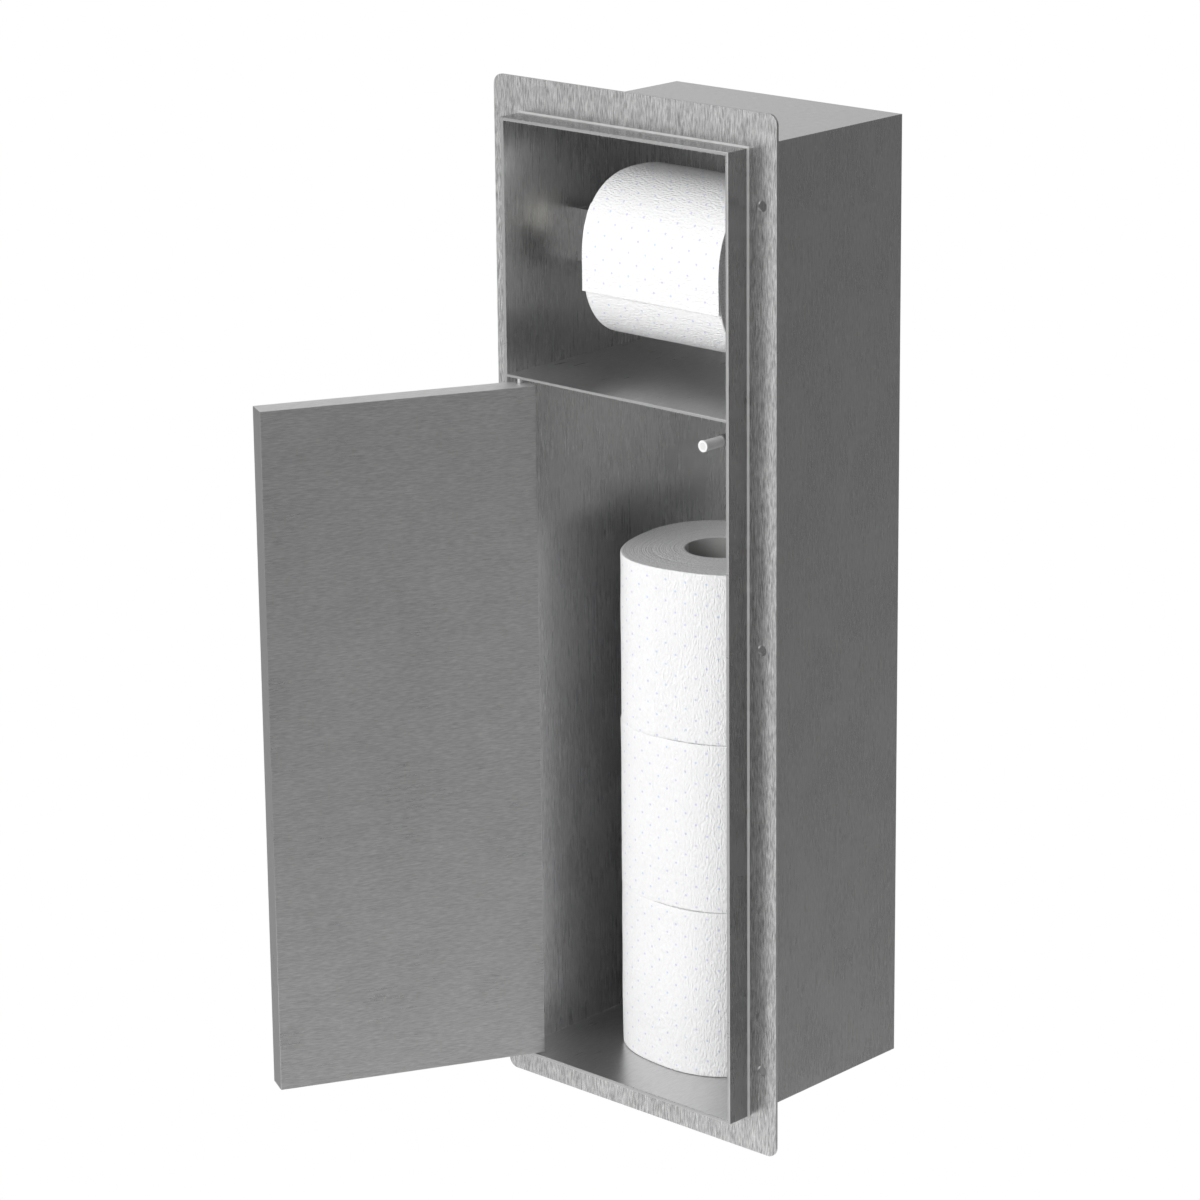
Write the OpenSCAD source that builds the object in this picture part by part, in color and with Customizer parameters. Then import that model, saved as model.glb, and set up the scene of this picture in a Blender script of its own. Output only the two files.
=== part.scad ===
// Recessed washroom cabinet of brushed stainless steel, in millimetres.
// An upper compartment holds a paper roll on a sprung spindle.
// A hinged door below it covers three spare rolls.
// The origin is the middle of the screw pattern, in the rear face of the wall flange.
// X is right, Y is into the wall and Z is up. The door is drawn open.

/* [Box] */
// Outer width of the box
box_w = 165; // [152:1:220]
// Outer height of the box
box_h = 550; // [500:1:700]
// Depth from the front lip to the outer face of the back
box_d = 146; // [140:1:200]
// Sheet thickness of the box walls
wall_t = 2; // [1.5:0.1:2.5]
// Sheet thickness of the back panel
back_t = 1.5; // [1:0.1:2.5]

/* [Wall flange] */
// How far the front lip stands in front of the flange
collar_d = 16; // [8:1:24]
// How far the flange reaches past the box on each side
flange_margin = 20; // [16:1:40]
// Sheet thickness of the flange
flange_t = 1.5; // [1:0.1:3]
// Radius of the flange's corners
flange_corner_r = 6; // [2:0.5:12]
// Diameter of the screw holes
screw_hole_d = 6; // [4:0.5:8]
// From the side edge of the flange to the middle of a screw hole
screw_edge = 10; // [7:0.5:12]
// From the end of the flange to the first screw hole
screw_end = 50; // [25:1:80]
// Leg of the weld bead between the flange and the collar
weld_leg = 1; // [0.5:0.1:2]

/* [Shelf] */
// Clear height above the shelf
upper_room_h = 143; // [135:1:160]
// Sheet thickness of the shelf
shelf_t = 1.5; // [1:0.1:2.5]
// Height of the tabs that are turned down at the sides and the back
shelf_tab_h = 12; // [8:1:20]
// From the front lip to the start of the side tabs
shelf_tab_start = 40; // [30:1:60]

/* [Door] */
// Thickness of the door
door_t = 15; // [12:0.5:16]
// Gap at each side of the closed door
door_side_gap = 1.5; // [1.2:0.1:2]
// Gap between the closed door and the shelf
door_top_gap = 3; // [2:0.1:5]
// Gap between the door and the floor of the box
door_floor_gap = 1.6; // [1.5:0.1:2.5]
// Sheet thickness of the door pan
pan_t = 1; // [0.8:0.1:1.2]
// Sheet thickness of the liner that closes the pan
liner_t = 0.8; // [0.6:0.1:1.2]
// Width of the stiffening channel inside the door
stiffener_w = 30; // [20:1:50]
// Gap between the stiffening channel and the ends of the pan
stiffener_end_gap = 10; // [5:1:30]
// Opening angle in which the door is drawn
door_open = 118; // [0:1:118]

/* [Hinge] */
// Diameter of the hinge pins
pin_d = 4; // [3:0.1:4]
// From the hinge edge of the door to the pin axis
pin_inset_x = 5.1; // [5.1:0.05:5.3]
// From the outer face of the door to the pin axis
pin_inset_y = 3.5; // [3.4:0.05:3.6]
// Length of the pin under the shelf
upper_pin_l = 14; // [10:0.5:15]
// Length of the pin on the floor, short enough to lift the door off
lower_pin_l = 4; // [3.4:0.1:4.4]
// Width of the bearing blocks inside the door
block_w = 12; // [9:0.5:16]
// Depth of the bearing blocks
block_d = 10; // [7:0.5:12]
// Height of the bearing blocks
block_h = 12; // [12:0.5:20]
// Outer diameter of the washer under the door
washer_d = 8; // [6:0.5:9]
// Gap between the washer and the door
washer_gap = 0.3; // [0.2:0.05:0.5]

/* [Push latch] */
// Diameter of the plunger
plunger_d = 6; // [5:0.1:6.5]
// From the front lip to the tip of the plunger with the door open
tip_start = 3.5; // [3:0.1:4.5]
// Diameter of the white tip
tip_d = 6.6; // [6.2:0.1:7]
// Length of the white tip
tip_l = 2; // [1.5:0.1:2.4]
// Diameter of the magnet in the tip
magnet_d = 3.6; // [3:0.1:4.5]
// Thickness of the magnet
magnet_t = 1.2; // [0.8:0.1:1.4]
// Outer diameter of the barrel
barrel_d = 9; // [8.8:0.1:11]
// Length of the barrel
barrel_l = 50; // [45:1:60]
// From the front lip to the front of the barrel
barrel_start = 18; // [18:0.1:20]
// Outer diameter of the nose at the front of the barrel
nose_d = 7; // [6.8:0.1:8.4]
// Length of the nose
nose_l = 7; // [4:0.5:9]
// Thickness of the shoulder behind the nose, which stops the piston
shoulder_t = 1.5; // [1:0.1:3]
// Thickness of the closed end of the barrel
barrel_end_t = 2; // [1:0.5:3]
// Wall of the barrel beside the piston
barrel_wall = 0.85; // [0.7:0.05:0.9]
// Length of the piston behind the plunger
piston_l = 4; // [3:0.5:6]
// Play of the piston behind the guide with the door open
piston_play = 0.6; // [0.5:0.1:1]
// Diameter of the spigot inside the spring
spigot_d = 4; // [3:0.1:4.4]
// Length of the spigot
spigot_l = 6; // [4:0.5:10]
// From the right wall to the plunger axis
latch_inset = 19.5; // [18:0.5:30]
// From the underside of the shelf down to the plunger axis
latch_drop = 17; // [12:0.5:22]
// Length of the saddle that holds the barrel
saddle_l = 20; // [14:1:30]
// Sheet thickness of the saddle
saddle_t = 1.5; // [1:0.1:2]
// Width of each foot of the saddle
saddle_foot = 10; // [8:0.5:11]
// Diameter of the saddle rivets
rivet_d = 3; // [2.5:0.1:4]
// Diameter of the rivet heads
rivet_head_d = 6; // [4.5:0.5:6]
// Height of the rivet heads
rivet_head_h = 1; // [0.6:0.1:1.5]
// Wire diameter of the latch spring
latch_wire_d = 0.7; // [0.5:0.05:0.8]
// Number of turns of the latch spring
latch_turns = 13; // [8:1:16]

/* [Roll holder] */
// Clear width between the two roll brackets
bracket_span = 114; // [108:1:120]
// Width of a bracket from front to back
bracket_w = 24; // [18:1:40]
// Height of a bracket
bracket_h = 30; // [20:1:40]
// Sheet thickness of a bracket
bracket_t = 1.2; // [1:0.1:2]
// Width of the bracket flanges on the wall
bracket_flange = 8; // [4:0.5:9]
// From the top of a bracket to the spindle axis
peg_drop = 10; // [6:0.5:12]
// From the front lip to the spindle axis
spindle_start = 70; // [66:0.5:72]
// From the inside top of the box to the spindle axis
spindle_drop = 68; // [62:0.5:70]
// Diameter of the spindle
spindle_d = 20; // [16:0.5:24]
// Wall of the outer spindle tube
spindle_t = 1.2; // [1:0.1:2]
// Length of the outer spindle tube
outer_tube_l = 71.5; // [65:0.5:80]
// How far the inner tube reaches into the outer one
tube_overlap = 20; // [15:1:28]
// Thickness of the closed tube ends
tube_end_t = 2; // [1:0.5:3]
// Diameter of the end pegs
peg_d = 6; // [4:0.5:8]
// Length of the end pegs
peg_l = 6.5; // [4:0.5:7]
// Radial gap of a peg in its bracket
peg_gap = 0.3; // [0.2:0.05:0.5]
// Gap between a tube end and its bracket
tube_gap = 0.5; // [0.3:0.1:1]
// Wire diameter of the spindle spring
spindle_wire_d = 1.2; // [0.8:0.1:1.4]
// Outer diameter of the spindle spring
spindle_spring_d = 13; // [9:0.5:13]
// Number of turns of the spindle spring
spindle_turns = 10; // [6:1:14]

/* [Rolls] */
// Width of a paper roll
roll_w = 99.5; // [90:0.5:100]
// Diameter of the roll on the spindle
roll_d = 95.6; // [60:0.1:112]
// Diameter of a spare roll
spare_d = 112; // [90:0.5:113]
// Bore of a cardboard core
core_bore_d = 40; // [36:0.5:46]
// Wall of a cardboard core
core_t = 1; // [0.5:0.1:1.5]
// Gap between the spare rolls and the back panel
spare_back_gap = 0.9; // [0.4:0.1:3]
// Gap between the roll and the right bracket
roll_end_gap = 0.6; // [0.3:0.1:3]
// Gap between the spindle and the core that hangs on it
core_rest_gap = 0.3; // [0.2:0.05:0.5]
// Thickness of the loose sheet
sheet_t = 0.4; // [0.2:0.1:0.6]
// How far the loose sheet hangs below the middle of the roll
tail_l = 16.3; // [5:0.1:18]
// Angle over which the loose sheet still lies on the roll
sheet_wrap = 40; // [20:1:70]

/* [Hidden] */

steel = [0.62, 0.62, 0.61];
bright_steel = [0.8, 0.8, 0.8];
nylon = [0.93, 0.93, 0.91];
magnet_grey = [0.5, 0.5, 0.52];
paper = [0.97, 0.97, 0.97];
cardboard = [0.66, 0.6, 0.53];

// Overrun of every cut past the face that it opens
overrun = 1;
// Radial clearance of a running fit
running_gap = 0.05;
// Radial clearance of a pin in the folded edge of the door pan
pan_hole_gap = 0.3;
// Gap at each end of a spring
spring_end_gap = 0.1;
// Gap between a spring and the bore round it
spring_side_gap = 0.25;
// Edge of the square strike plate behind the liner
strike_w = 24;
// Thickness of the strike plate
strike_t = 1.5;
// Roundness of the turned and drilled shapes
$fn = 96;
// Sides of a spring's wire
wire_sides = 6;
// Rings in each turn of a spring
turn_rings = 16;

// Faces of the box
lip_y = -(collar_d + flange_t);
rear_y = lip_y + box_d;
back_in_y = rear_y - back_t;
in_w = box_w - 2 * wall_t;
in_h = box_h - 2 * wall_t;
side_in = in_w / 2;
floor_z = -in_h / 2;
roof_z = in_h / 2;

// Wall flange
flange_w = box_w + 2 * flange_margin;
flange_h = box_h + 2 * flange_margin;
screw_x = flange_w / 2 - screw_edge;
screw_z = flange_h / 2 - screw_end;

// Shelf
shelf_top_z = roof_z - upper_room_h;
shelf_low_z = shelf_top_z - shelf_t;

// Closed door
door_w = in_w - 2 * door_side_gap;
door_left = -door_w / 2;
door_low_z = floor_z + door_floor_gap;
door_top_z = shelf_low_z - door_top_gap;
door_h = door_top_z - door_low_z;
pan_d = door_t - liner_t;
hinge_x = door_left + pin_inset_x;
hinge_y = lip_y + pin_inset_y;

// Push latch
latch_x = side_in - latch_inset;
latch_z = shelf_low_z - latch_drop;
tip_y = lip_y + tip_start;
barrel_y = lip_y + barrel_start;
guide_l = nose_l + shoulder_t;
piston_y = barrel_y + guide_l + piston_play;
barrel_bore_d = barrel_d - 2 * barrel_wall;
barrel_floor_y = barrel_y + barrel_l - barrel_end_t;
latch_spring_d = barrel_bore_d - 2 * spring_side_gap;
saddle_y = barrel_y + barrel_l - saddle_l;
saddle_r = barrel_d / 2 + running_gap;
rivet_x = saddle_r + saddle_t + saddle_foot / 2;

// Roll holder
spindle_y = lip_y + spindle_start;
spindle_z = roof_z - spindle_drop;
tube_left = -bracket_span / 2 + tube_gap;
tube_right = bracket_span / 2 - tube_gap;
outer_tube_end = tube_left + outer_tube_l;
inner_tube_start = outer_tube_end - tube_overlap;
outer_bore_d = spindle_d - 2 * spindle_t;
inner_tube_d = outer_bore_d - 2 * running_gap;

// Roll on the spindle
core_d = core_bore_d + 2 * core_t;
roll_z = spindle_z - (core_bore_d - spindle_d) / 2 + core_rest_gap;
roll_right = bracket_span / 2 - roll_end_gap;
roll_left = roll_right - roll_w;

// Spare rolls
spare_y = back_in_y - spare_back_gap - spare_d / 2;

// Runs along X from the given place
module along_x(x, y, z) translate([x, y, z]) rotate([0, 90, 0]) children();

// Runs along Y from the given place
module along_y(x, y, z) translate([x, y, z]) rotate([-90, 0, 0]) children();

// Turns the closed door about its pins into the pose that is drawn
module door_pose() translate([hinge_x, hinge_y, 0]) rotate([0, 0, -door_open])
    translate([-hinge_x, -hinge_y, 0]) children();

// Plate with round corners, cut by true arcs
module rounded_plate(w, h, r) {
    square([w - 2 * r, h], center = true);
    square([w, h - 2 * r], center = true);
    for (x = [-1, 1], z = [-1, 1]) translate([x * (w / 2 - r), z * (h / 2 - r)]) circle(r);
}

// One ring of a spring's wire, at the share of the whole length that it has reached
function wire_ring(share, mean_r, wire_r, turns, rise) =
    let (a = 360 * turns * share,
        out = [cos(a), sin(a), 0],
        run = 2 * PI * mean_r * turns,
        along = [-sin(a) * run, cos(a) * run, rise] / sqrt(run * run + rise * rise),
        up = cross(out, along),
        middle = mean_r * out + [0, 0, share * rise])
    [for (k = [0 : wire_sides - 1]) let (b = 360 * k / wire_sides)
        middle + wire_r * (cos(b) * out + sin(b) * up)];

// Helical spring that stands on its lower end, with the given outer diameter and length
module coil_spring(outer_d, wire_d, turns, length) {
    rings = turns * turn_rings;
    rise = length - wire_d;
    points = [for (i = [0 : rings])
        each wire_ring(i / rings, (outer_d - wire_d) / 2, wire_d / 2, turns, rise)];
    sides = [for (i = [0 : rings - 1], k = [0 : wire_sides - 1])
        let (a = i * wire_sides + k, b = i * wire_sides + (k + 1) % wire_sides)
        each [[a, b + wire_sides, b], [a, a + wire_sides, b + wire_sides]]];
    last = rings * wire_sides;
    caps = [for (k = [1 : wire_sides - 2]) each [[0, k, k + 1], [last, last + k + 1, last + k]]];
    translate([0, 0, wire_d / 2]) polyhedron(points, concat(sides, caps), convexity = 10);
}

// Box

module box_wrap() color(steel)
    translate([0, lip_y, 0]) rotate([-90, 0, 0]) linear_extrude(box_d) difference() {
        square([box_w, box_h], center = true);
        square([in_w, in_h], center = true);
    }

module back_panel() color(steel)
    translate([-side_in, back_in_y, floor_z]) cube([in_w, back_t, in_h]);

module wall_flange() color(steel) difference() {
    rotate([90, 0, 0]) linear_extrude(flange_t) rounded_plate(flange_w, flange_h, flange_corner_r);
    translate([-box_w / 2, -flange_t - overrun, -box_h / 2]) cube([box_w, flange_t + 2 * overrun, box_h]);
    for (x = [-1, 1], z = [-1, 0, 1])
        along_y(x * screw_x, -flange_t - overrun, z * screw_z)
            cylinder(d = screw_hole_d, h = flange_t + 2 * overrun);
}

// Bead of triangular section with mitred corners
module flange_weld() color(bright_steel) difference() {
    intersection() {
        translate([0, 0, -box_h / 2 - weld_leg]) linear_extrude(box_h + 2 * weld_leg)
            bead_outline(box_w / 2);
        rotate([0, 90, 0]) translate([0, 0, -box_w / 2 - weld_leg]) linear_extrude(box_w + 2 * weld_leg)
            bead_outline(box_h / 2);
    }
    translate([-box_w / 2, -flange_t - weld_leg - overrun, -box_h / 2])
        cube([box_w, weld_leg + 2 * overrun, box_h]);
}

// Section through the bead and all that it goes round
module bead_outline(half) translate([0, -flange_t]) polygon([[-half - weld_leg, 0], [-half, -weld_leg],
    [half, -weld_leg], [half + weld_leg, 0]]);

module shelf() color(steel) {
    difference() {
        translate([-side_in, lip_y, shelf_low_z]) cube([in_w, box_d - back_t, shelf_t]);
        rivet_places() cylinder(d = rivet_d + 2 * running_gap, h = 2 * (shelf_t + overrun), center = true);
    }
    translate([-side_in, back_in_y - shelf_t, shelf_low_z - shelf_tab_h])
        cube([in_w, shelf_t, shelf_tab_h]);
    for (x = [-side_in, side_in - shelf_t])
        translate([x, lip_y + shelf_tab_start, shelf_low_z - shelf_tab_h])
            cube([shelf_t, back_in_y - shelf_t - lip_y - shelf_tab_start, shelf_tab_h]);
}

// Hinge parts on the cabinet

module upper_hinge_pin() color(bright_steel)
    translate([hinge_x, hinge_y, shelf_low_z - upper_pin_l]) cylinder(d = pin_d, h = upper_pin_l);

module lower_hinge_pin() color(bright_steel)
    translate([hinge_x, hinge_y, floor_z]) cylinder(d = pin_d, h = lower_pin_l);

module lower_hinge_washer() color(nylon) translate([hinge_x, hinge_y, floor_z]) difference() {
    cylinder(d = washer_d, h = door_floor_gap - washer_gap);
    translate([0, 0, -overrun]) cylinder(d = pin_d + 2 * running_gap, h = door_floor_gap + 2 * overrun);
}

// Door

module door_pan() color(steel) door_pose() difference() {
    translate([door_left, lip_y, door_low_z]) cube([door_w, pan_d, door_h]);
    translate([door_left + pan_t, lip_y + pan_t, door_low_z + pan_t])
        cube([door_w - 2 * pan_t, pan_d, door_h - 2 * pan_t]);
    for (z = [door_low_z, door_top_z - pan_t]) translate([hinge_x, hinge_y, z - overrun])
        cylinder(d = pin_d + 2 * pan_hole_gap, h = pan_t + 2 * overrun);
}

module door_liner() color(steel) door_pose()
    translate([door_left, lip_y + pan_d, door_low_z]) cube([door_w, liner_t, door_h]);

module door_stiffener() color(steel) door_pose()
    translate([0, lip_y + pan_t, door_low_z + pan_t + stiffener_end_gap]) difference() {
        length = door_h - 2 * (pan_t + stiffener_end_gap);
        depth = pan_d - pan_t;
        translate([-stiffener_w / 2, 0, 0]) cube([stiffener_w, depth, length]);
        translate([-stiffener_w / 2 + pan_t, pan_t, -overrun])
            cube([stiffener_w - 2 * pan_t, depth, length + 2 * overrun]);
    }

// Bearing block in a corner of the pan, with its bore on the pin axis
module hinge_block(z) color(nylon) door_pose() difference() {
    translate([door_left + pan_t, lip_y + pan_t, z]) cube([block_w, block_d, block_h]);
    translate([hinge_x, hinge_y, z - overrun])
        cylinder(d = pin_d + 2 * running_gap, h = block_h + 2 * overrun);
}

module upper_hinge_block() hinge_block(door_top_z - pan_t - block_h);

module lower_hinge_block() hinge_block(door_low_z + pan_t);

module strike_plate() color(bright_steel) door_pose()
    translate([latch_x - strike_w / 2, lip_y + pan_d - strike_t, latch_z - strike_w / 2])
        cube([strike_w, strike_t, strike_w]);

// Push latch

module latch_barrel() color(steel) difference() {
    union() {
        along_y(latch_x, barrel_y, latch_z) cylinder(d = nose_d, h = guide_l);
        along_y(latch_x, barrel_y + nose_l, latch_z) cylinder(d = barrel_d, h = barrel_l - nose_l);
    }
    along_y(latch_x, barrel_y - overrun, latch_z)
        cylinder(d = plunger_d + 2 * running_gap, h = guide_l + 2 * overrun);
    along_y(latch_x, barrel_y + guide_l, latch_z)
        cylinder(d = barrel_bore_d, h = barrel_l - guide_l - barrel_end_t);
}

// Strap that goes round the barrel and is riveted under the shelf
module latch_saddle() color(steel) difference() {
    along_y(latch_x, saddle_y, latch_z) linear_extrude(saddle_l) difference() {
        union() {
            circle(saddle_r + saddle_t);
            translate([-saddle_r - saddle_t, -latch_drop]) square([2 * (saddle_r + saddle_t), latch_drop]);
            translate([-saddle_r - saddle_t - saddle_foot, -latch_drop])
                square([2 * (saddle_r + saddle_t + saddle_foot), saddle_t]);
        }
        circle(saddle_r);
        translate([-saddle_r, -latch_drop - overrun]) square([2 * saddle_r, latch_drop + overrun]);
    }
    rivet_places() cylinder(d = rivet_d + 2 * running_gap, h = 2 * (saddle_t + overrun), center = true);
}

// Middle of each saddle rivet, where the saddle meets the shelf
module rivet_places() for (x = [-rivet_x, rivet_x])
    translate([latch_x + x, saddle_y + saddle_l / 2, shelf_low_z]) children();

module latch_rivets() color(bright_steel) rivet_places() {
    translate([0, 0, -saddle_t]) cylinder(d = rivet_d, h = saddle_t + shelf_t);
    translate([0, 0, -saddle_t - rivet_head_h]) cylinder(d = rivet_head_d, h = rivet_head_h);
    translate([0, 0, shelf_t]) cylinder(d = rivet_head_d, h = rivet_head_h);
}

module latch_plunger() color(nylon) {
    along_y(latch_x, tip_y + tip_l, latch_z) cylinder(d = plunger_d, h = piston_y - tip_y - tip_l);
    along_y(latch_x, piston_y, latch_z) cylinder(d = barrel_bore_d - 2 * running_gap, h = piston_l);
    along_y(latch_x, piston_y + piston_l, latch_z) cylinder(d = spigot_d, h = spigot_l);
}

module latch_tip() color(nylon) difference() {
    along_y(latch_x, tip_y, latch_z) cylinder(d = tip_d, h = tip_l);
    along_y(latch_x, tip_y - overrun, latch_z)
        cylinder(d = magnet_d + 2 * running_gap, h = magnet_t + overrun);
}

module latch_magnet() color(magnet_grey)
    along_y(latch_x, tip_y, latch_z) cylinder(d = magnet_d, h = magnet_t);

module latch_spring() color(bright_steel)
    along_y(latch_x, piston_y + piston_l + spring_end_gap, latch_z)
        coil_spring(latch_spring_d, latch_wire_d, latch_turns,
            barrel_floor_y - piston_y - piston_l - 2 * spring_end_gap);

// Roll holder

// Folded channel whose flanges lie on the left wall, with the hole for a peg in its end
module roll_bracket() color(steel) {
    depth = side_in - bracket_span / 2;
    difference() {
        translate([-side_in, spindle_y - bracket_w / 2, spindle_z + peg_drop - bracket_h])
            linear_extrude(bracket_h) difference() {
                square([depth, bracket_w]);
                translate([bracket_t, bracket_t])
                    square([depth - 2 * bracket_t, bracket_w - 2 * bracket_t]);
                translate([-overrun, bracket_flange])
                    square([depth - bracket_t, bracket_w - 2 * bracket_flange]);
            }
        along_x(-bracket_span / 2 - bracket_t - overrun, spindle_y, spindle_z)
            cylinder(d = peg_d + 2 * peg_gap, h = bracket_t + 2 * overrun);
    }
}

module left_roll_bracket() roll_bracket();

module right_roll_bracket() mirror([1, 0, 0]) roll_bracket();

module spindle_outer() color(nylon) difference() {
    union() {
        along_x(tube_left, spindle_y, spindle_z) cylinder(d = spindle_d, h = outer_tube_l);
        along_x(tube_left - peg_l, spindle_y, spindle_z) cylinder(d = peg_d, h = peg_l);
    }
    along_x(tube_left + tube_end_t, spindle_y, spindle_z) cylinder(d = outer_bore_d, h = outer_tube_l);
}

module spindle_inner() color(nylon) difference() {
    union() {
        along_x(inner_tube_start, spindle_y, spindle_z)
            cylinder(d = inner_tube_d, h = tube_right - inner_tube_start);
        along_x(tube_right, spindle_y, spindle_z) cylinder(d = peg_d, h = peg_l);
    }
    along_x(inner_tube_start + tube_end_t, spindle_y, spindle_z)
        cylinder(d = inner_tube_d - 2 * spindle_t, h = tube_right - inner_tube_start - 2 * tube_end_t);
}

module spindle_spring() color(bright_steel)
    along_x(tube_left + tube_end_t + spring_end_gap, spindle_y, spindle_z) coil_spring(spindle_spring_d,
        spindle_wire_d, spindle_turns, inner_tube_start - tube_left - tube_end_t - 2 * spring_end_gap);

// Rolls

// Ring round the Z axis
module ring(outer_d, inner_d, h) difference() {
    cylinder(d = outer_d, h = h);
    translate([0, 0, -overrun]) cylinder(d = inner_d, h = h + 2 * overrun);
}

module roll_paper() color(paper)
    along_x(roll_left, spindle_y, roll_z) ring(roll_d, core_d, roll_w);

module roll_core() color(cardboard)
    along_x(roll_left, spindle_y, roll_z) ring(core_d - 2 * running_gap, core_bore_d, roll_w);

// Sheet that leaves the front of the roll and hangs straight down
module loose_sheet() color(paper) {
    sheet_r = roll_d / 2 + running_gap;
    reach = roll_d + 2 * sheet_t;
    translate([roll_left, spindle_y, roll_z]) rotate([90, 0, 90]) linear_extrude(roll_w) {
        difference() {
            circle(sheet_r + sheet_t);
            circle(sheet_r);
            translate([-reach, -2 * reach]) square([2 * reach, 2 * reach]);
            rotate([0, 0, -sheet_wrap]) translate([-reach, 0]) square([2 * reach, 2 * reach]);
        }
        translate([-sheet_r - sheet_t, -tail_l]) square([sheet_t, tail_l]);
    }
}

module spare_paper(i) color(paper)
    translate([0, spare_y, floor_z + i * roll_w]) ring(spare_d, core_d, roll_w);

module spare_core(i) color(cardboard)
    translate([0, spare_y, floor_z + i * roll_w]) ring(core_d - 2 * running_gap, core_bore_d, roll_w);

box_wrap();
back_panel();
wall_flange();
flange_weld();
shelf();
upper_hinge_pin();
lower_hinge_pin();
lower_hinge_washer();
door_pan();
door_liner();
door_stiffener();
upper_hinge_block();
lower_hinge_block();
strike_plate();
latch_barrel();
latch_saddle();
latch_rivets();
latch_plunger();
latch_tip();
latch_magnet();
latch_spring();
left_roll_bracket();
right_roll_bracket();
spindle_outer();
spindle_inner();
spindle_spring();
roll_paper();
roll_core();
loose_sheet();
spare_paper(0);  // spare_paper_1
spare_paper(1);  // spare_paper_2
spare_paper(2);  // spare_paper_3
spare_core(0);  // spare_core_1
spare_core(1);  // spare_core_2
spare_core(2);  // spare_core_3
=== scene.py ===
# %% [markdown]
# # A recessed washroom cabinet of brushed stainless steel
# The real thing is a folded steel box that goes into a hole in the wall as far as a flat flange.
# Its open upper room holds a paper roll on a sprung spindle. A hinged door below covers three spare rolls.
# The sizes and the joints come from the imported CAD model. This script gives that model its real surfaces:
# clean sheet edges, brushed grain, soft paper and grey board.

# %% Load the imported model
import math

import bmesh
import bpy
from mathutils import Matrix, Vector, noise


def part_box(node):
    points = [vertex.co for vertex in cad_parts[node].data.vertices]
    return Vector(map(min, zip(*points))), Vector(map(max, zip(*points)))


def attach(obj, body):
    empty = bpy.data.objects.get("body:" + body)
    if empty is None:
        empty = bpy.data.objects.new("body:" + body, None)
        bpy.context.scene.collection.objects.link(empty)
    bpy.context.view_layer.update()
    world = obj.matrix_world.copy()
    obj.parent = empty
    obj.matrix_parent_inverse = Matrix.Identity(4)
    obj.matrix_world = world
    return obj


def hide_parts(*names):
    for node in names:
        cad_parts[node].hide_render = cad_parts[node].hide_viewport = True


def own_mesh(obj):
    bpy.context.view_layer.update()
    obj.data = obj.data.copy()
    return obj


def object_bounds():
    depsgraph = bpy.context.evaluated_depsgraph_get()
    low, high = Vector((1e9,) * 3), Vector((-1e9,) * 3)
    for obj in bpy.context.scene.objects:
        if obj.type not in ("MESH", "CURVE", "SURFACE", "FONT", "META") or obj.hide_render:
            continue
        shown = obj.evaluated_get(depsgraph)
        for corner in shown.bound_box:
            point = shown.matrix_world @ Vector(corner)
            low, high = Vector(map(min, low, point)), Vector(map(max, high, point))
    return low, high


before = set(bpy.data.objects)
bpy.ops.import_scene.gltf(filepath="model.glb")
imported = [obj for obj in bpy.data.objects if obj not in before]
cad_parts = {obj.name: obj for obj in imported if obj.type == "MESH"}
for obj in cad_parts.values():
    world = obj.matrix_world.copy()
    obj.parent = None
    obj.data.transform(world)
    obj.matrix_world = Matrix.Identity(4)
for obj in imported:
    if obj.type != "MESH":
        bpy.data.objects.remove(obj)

cad_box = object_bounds()
MM = 0.001
print("nodes:", len(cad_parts))

# %% [markdown]
# ## The camera
# The picture was taken with a long lens from the right, a little above the middle of the cabinet. Aiming a
# camera at one point would be easier, but it can't hold the picture's slight roll and shift. So the box,
# the door and the rolls together gave the place, the turn and the lens, and these are plain numbers. The
# picture's middle is a little below the lens axis, which is what a small upright shift does.

# %% Camera
CAMERA_PLACE = Vector((1.55309, -1.71665, 0.70454))
CAMERA_YAW, CAMERA_PITCH, CAMERA_ROLL = (math.radians(a) for a in (-42.632, 15.426, 0.584))
CAMERA_LENS, SENSOR_WIDTH = 130.554, 36  # in millimetres
CAMERA_SHIFT_Y = -0.08  # a share of the picture
CAMERA_REACH = 100  # in metres
UP = Vector((0, 0, 1))


def shown(thing):
    """Puts a new object into the scene."""
    bpy.context.scene.collection.objects.link(thing)
    return thing


level_ahead = Vector((math.sin(CAMERA_YAW), math.cos(CAMERA_YAW), 0))
level_right = Vector((math.cos(CAMERA_YAW), -math.sin(CAMERA_YAW), 0))
ahead = level_ahead * math.cos(CAMERA_PITCH) - UP * math.sin(CAMERA_PITCH)
down = -UP * math.cos(CAMERA_PITCH) - level_ahead * math.sin(CAMERA_PITCH)
right = level_right * math.cos(CAMERA_ROLL) + down * math.sin(CAMERA_ROLL)
down = down * math.cos(CAMERA_ROLL) - level_right * math.sin(CAMERA_ROLL)
turned = Matrix((right, -down, -ahead)).transposed().to_4x4()

camera = shown(bpy.data.objects.new("camera", bpy.data.cameras.new("camera")))
camera.matrix_world = Matrix.Translation(CAMERA_PLACE) @ turned
camera.data.sensor_width = SENSOR_WIDTH
camera.data.lens = CAMERA_LENS
camera.data.shift_y = CAMERA_SHIFT_Y
camera.data.clip_end = CAMERA_REACH
bpy.context.scene.camera = camera
print("camera at", tuple(round(c, 3) for c in camera.location))

# %% [markdown]
# ## Shader maths in Python
# A node tree is easier to read as a sum than as a web of links. The class below wraps one output socket.
# A plus, minus, times or divide sign between two of them adds the Math node that does it.
# Every other node comes from one method, which sets the node up first and then fills its sockets.

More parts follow.
